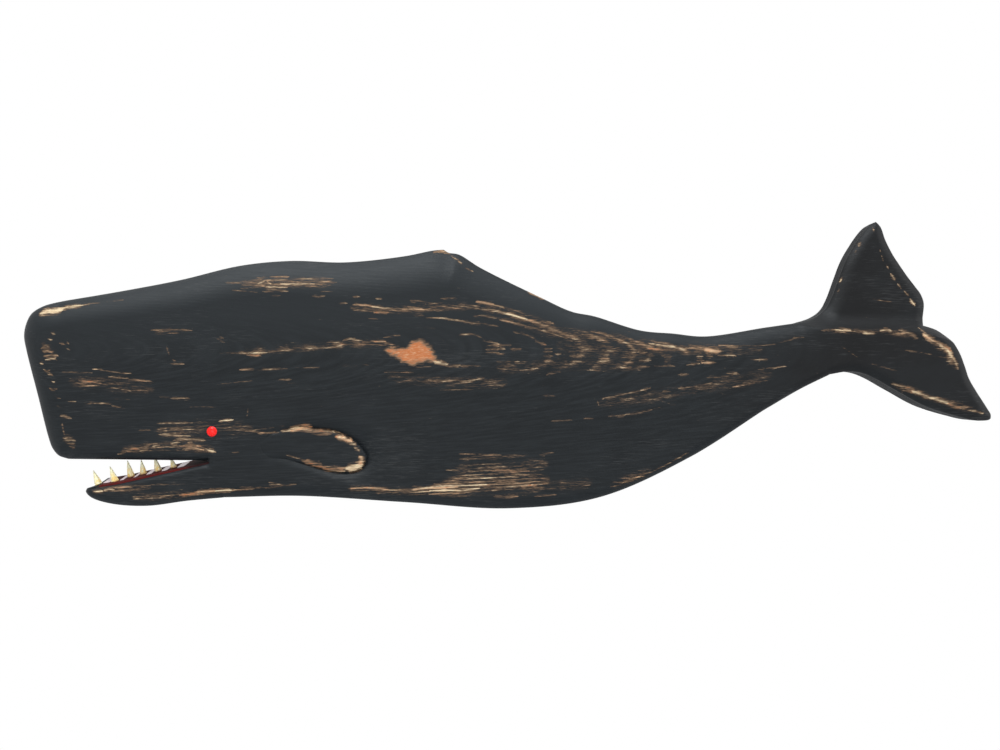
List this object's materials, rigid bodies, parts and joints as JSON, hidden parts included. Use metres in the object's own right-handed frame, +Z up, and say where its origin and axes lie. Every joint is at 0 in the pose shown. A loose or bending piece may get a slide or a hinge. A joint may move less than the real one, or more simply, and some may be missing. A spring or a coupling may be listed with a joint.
{
  "type": "whale wall plaque",
  "caption": "Flat-backed whale carved from one board, with an open mouth of peg teeth, a tack eye, a low fin and forked flukes, hung on keyhole plates.",
  "frame": {"origin": "middle of the flat back, halfway along the length and the height of the board", "axes": "+X from the snout to the tail, +Y out of the flat back towards the wall, +Z up"},
  "size_m": [0.9142, 0.0405, 0.2697],
  "materials": {
    "painted_pine": "satin charcoal paint over pine, sanded through to bare wood along edges, ridges and grain, with gloss dark red paint inside the mouth",
    "red_enamel": "gloss red enamel on a steel tack",
    "bare_wood": "whittled, unpainted, satin",
    "zinc_plate": "zinc plated, pressed",
    "zinc_screw": "yellowed zinc plating"
  },
  "bodies": {
    "root": {"carved_body": "painted_pine", "eye_tack": "red_enamel", "tooth_1": "bare_wood", "tooth_2": "bare_wood", "tooth_3": "bare_wood", "tooth_4": "bare_wood", "tooth_5": "bare_wood", "tooth_6": "bare_wood", "hanger_plate_front": "zinc_plate", "hanger_plate_rear": "zinc_plate", "hanger_screw_1": "zinc_screw", "hanger_screw_2": "zinc_screw", "hanger_screw_3": "zinc_screw", "hanger_screw_4": "zinc_screw"}
  },
  "joints": []
}
